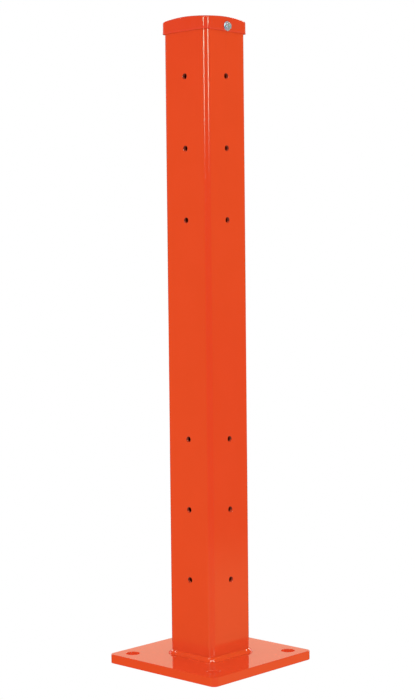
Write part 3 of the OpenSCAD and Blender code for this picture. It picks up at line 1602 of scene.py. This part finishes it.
@dataclass
class Studio:
    """White floor and background, soft light, and the camera at the photograph's angle.

    Attributes:
        azimuth: Direction of the camera from the post, in degrees from -Y towards +X.
        distance: Distance of the camera from the post's axis.
        height: Height of the camera.
        pitch: Tilt of the camera above the level, in degrees.
        roll: Turn of the camera about its line of sight, in degrees, clockwise seen from behind it.
        lens: Focal length in millimetres on a 36 mm sensor.
        sensor: Width of the sensor in millimetres.
        floor_r: Radius of the floor.
        floor_steps: Steps round the floor's edge.
        card_color: Radiance of the white cards behind the post.
        card_distance: Distance of the cards from the post's axis.
        card_gap: Distance of each card's inner edge from the line of sight.
        card_reach: Distance of each card's outer edge from the line of sight.
        card_low: Height of the cards' lower edge.
        card_high: Height of the cards' upper edge.
        front_azimuth: Direction of the middle of what is in front of the post, near the camera's.
        all_round: Half width of a box that goes all the way round.
    """

    azimuth: float = 43.148
    distance: float = 2.7342
    height: float = 0.6939
    pitch: float = -2.993
    roll: float = 0.589
    lens: float = 80.38
    sensor: float = 36.0
    floor_r: float = 9.0
    floor_steps: int = 96
    card_color: Color = (1.18, 0.89, 0.64)
    card_distance: float = 1.5
    card_gap: float = 0.09
    card_reach: float = 0.7
    card_low: float = 0.2
    card_high: float = 0.58
    front_azimuth: float = 43.0
    all_round: float = 181.0

    def strips(self) -> tuple[SoftBox, ...]:
        """Places the tall strip lights that draw the thin lines on the rounded corners.

        Returns:
            The two in front, then the two behind.
        """
        front = SoftBox((8.0, 19.0, 16.0), azimuth=6.0, half_width=7.0, low=3.6, high=11.0, low_fade=5.2)
        back = SoftBox(
            (2.0, 2.0, 2.0), azimuth=190.0, half_width=9.0, low=2.0, high=30.0, low_fade=9.0, high_fade=8.0
        )
        return (front, replace(front, azimuth=95.0), back, replace(back, azimuth=-84.0))

    def walls(self) -> tuple[SoftBox, ...]:
        """Places the dim walls of the room, as the two front faces mirror them.

        Returns:
            The left wall and its foot, then the right wall and all but its foot.
        """
        left = SoftBox((0.12, 0.11, 0.0), azimuth=-43.0, half_width=34.0, side_fade=8.0)
        left_low = replace(left, color=(0.14, 0.13, 0.0), high=4.5)
        right = SoftBox((0.14, 0.14, 0.0), azimuth=161.0, half_width=28.0, side_fade=2.5)
        right_high = replace(right, color=(0.14, 0.10, 0.0), low=-3.5, low_fade=4.0)
        return (left, left_low, right, right_high)

    def glints(self) -> tuple[SoftBox, ...]:
        """Places the small lights that glint on the weld, on its lumps and on the rims of the bolt holes.

        Returns:
            The two in front, the three behind and the one high up.
        """
        front = SoftBox(
            (10.0, 10.0, 9.0),
            azimuth=20.0,
            half_width=12.0,
            low=42.0,
            high=68.0,
            side_fade=4.0,
            low_fade=6.0,
            high_fade=6.0,
        )
        left = SoftBox(
            (12.0, 12.0, 10.8),
            azimuth=-101.0,
            half_width=9.0,
            low=29.0,
            high=37.0,
            low_fade=3.0,
            high_fade=2.0,
        )
        right = replace(left, color=(14.0, 14.0, 12.6), azimuth=186.0, low=28.0, high=36.0)
        left_low = replace(left, color=(2.0, 2.0, 1.8), azimuth=-108.0, low=12.0, high=20.0)
        over = replace(
            front, color=(6.0, 6.0, 5.4), azimuth=-60.0, low=62.0, high=72.0, low_fade=3.0, high_fade=3.0
        )
        return (front, replace(front, azimuth=77.0), left, right, left_low, over)

    def cool_room(self) -> tuple[SoftBox, ...]:
        """Places the cool light above and below what the flat faces mirror, which the screw shows.

        Returns:
            The light over head height, the ceiling's and the floor's.
        """
        room = SoftBox((0.14, 0.13, 0.36), azimuth=self.front_azimuth, half_width=self.all_round)
        high = replace(room, low=15.0, high=25.0, high_fade=7.0)
        ceiling = replace(room, color=(0.20, 0.16, 0.0), low=38.0, low_fade=16.0)
        low = replace(room, color=(0.20, 0.22, 0.38), high=-26.0, high_fade=8.0)
        return (high, ceiling, low)

    def bright_floor(self) -> SoftBox:
        """Places the bright floor on the right, as the foot of the right face mirrors it.

        Returns:
            The floor's light.
        """
        return SoftBox(
            (0.35, 0.40, 0.16),
            azimuth=62.0,
            half_width=98.0,
            low=-36.0,
            high=-11.8,
            side_fade=8.0,
            low_fade=10.0,
            high_fade=2.4,
        )

    def reflections(self) -> Surroundings:
        """Returns what the glossy surfaces mirror."""
        boxes = (*self.strips(), *self.walls(), self.bright_floor(), *self.glints(), *self.cool_room())
        return Surroundings(ambient=(0.06, 0.06, 0.03), boxes=boxes)

    def fill(self) -> Surroundings:
        """Returns what lights the matt part of every surface, a little more from the white floor."""
        glow = SoftBox((0.02, 0.02, 0.02), azimuth=0.0, half_width=self.all_round, high=-8.0, high_fade=16.0)
        return Surroundings(ambient=(1.035, 1.02, 1.02), boxes=(glow,))

    def build_world(self, effects: Effects) -> None:
        """Makes the surroundings: white to the camera, with soft light and reflections for the post.

        Args:
            effects: The shared effects.
        """
        world = bpy.data.worlds.new("studio")
        bpy.context.scene.world = world
        world.use_nodes = True
        world.cycles.sampling_method = "NONE"
        world.node_tree.nodes.clear()
        sheet = Sheet(world.node_tree)
        direction = sheet.add("ShaderNodeTexCoord").outputs["Generated"]
        path = sheet.add("ShaderNodeLightPath").outputs
        fill = self.fill().radiance(sheet, effects, direction)
        mirrored = self.reflections().radiance(sheet, effects, direction)
        light = sheet.mix(path["Is Glossy Ray"], fill, mirrored)
        seen = sheet.mix(path["Is Camera Ray"], light, WHITE)
        sheet.surface("ShaderNodeBackground", {"Color": seen}, output="World")
        log.info("studio surroundings: %d soft boxes", len(self.fill().boxes) + len(self.reflections().boxes))

    def axes(self) -> tuple[Vector, Vector]:
        """Finds the camera's level directions.

        Returns:
            The direction away from it and the direction to its right.
        """
        azimuth = math.radians(self.azimuth)
        away = Vector((-math.sin(azimuth), math.cos(azimuth), 0.0))
        across = Vector((math.cos(azimuth), math.sin(azimuth), 0.0))
        return away, across

    def build_cards(self) -> None:
        """Stands two white cards behind the post, low down, which only the glossy surfaces mirror."""
        away, across = self.axes()
        white = glowing("white_card", self.card_color)
        low_edge = [(self.card_gap, self.card_low), (self.card_reach, self.card_low)]
        high_edge = [(self.card_reach, self.card_high), (self.card_gap, self.card_high)]
        for name, side in (("card_left", -1), ("card_right", 1)):
            middle = away * self.card_distance
            outward = across * side
            draft = MeshDraft()
            draft.bm.faces.new(draft.loop(low_edge + high_edge, lambda x, z: middle + outward * x + UP * z))
            card = draft.piece(name, even_normals=False)
            card.data.materials.append(white)
            card.visible_camera = False
            card.visible_diffuse = False
            card.visible_shadow = False
            log.info("%s: %.2f m wide", name, self.card_reach - self.card_gap)

    def build_floor(self) -> None:
        """Makes the white floor, which the post stands on and only the camera sees."""
        draft = MeshDraft()
        draft.fan(draft.level(circle(self.floor_r, self.floor_steps), 0.0), Vector((0, 0, 0)))
        floor = draft.piece("floor", even_normals=False)
        floor.data.materials.append(glowing("white_floor", WHITE))
        floor.visible_diffuse = False
        floor.visible_glossy = False
        floor.visible_shadow = False
        log.info("floor: %.0f m across", 2 * self.floor_r)

    def build_camera(self) -> None:
        """Sets the camera where the photograph was taken from."""
        away, level = self.axes()
        pitch = math.radians(self.pitch)
        roll = math.radians(self.roll)
        forward = away * math.cos(pitch) + UP * math.sin(pitch)
        upright = level.cross(forward)
        right = level * math.cos(roll) - upright * math.sin(roll)
        up = upright * math.cos(roll) + level * math.sin(roll)
        data = bpy.data.cameras.new("camera")
        data.lens = self.lens
        data.sensor_width = self.sensor
        camera = bpy.data.objects.new("camera", data)
        bpy.context.scene.collection.objects.link(camera)
        turn = Matrix((right, up, -forward)).transposed().to_4x4()
        camera.matrix_world = Matrix.Translation(UP * self.height - away * self.distance) @ turn
        bpy.context.scene.camera = camera
        log.info("camera: %.0f mm lens, %.2f m from the post", self.lens, self.distance)

    def build(self, effects: Effects) -> None:
        """Builds the camera, the surroundings, the cards and the floor.

        Args:
            effects: The shared effects.
        """
        self.build_camera()
        self.build_world(effects)
        self.build_cards()
        self.build_floor()
        bpy.context.scene.view_settings.view_transform = "Standard"


def main() -> None:
    """Builds the studio and the five pieces of the post, in order."""
    logging.basicConfig(level=logging.INFO, format="%(name)s %(message)s")
    effects = Effects()
    Studio().build(effects)
    coat = POWDER_COAT.material(effects)
    screw = CapScrew()
    BasePlate().build(coat)
    PostTube().build(coat, HOLE_SHADE_AND_LIGHT_COAT.material(effects), screw.hole())
    BaseWeld().build(LIGHTENED_COAT_ON_WELD.material(effects))
    PostCap().build(CAP_PLASTIC.material(effects))
    screw.build(ZINC_PLATE.material(effects))


if __name__ == "__main__":
    main()
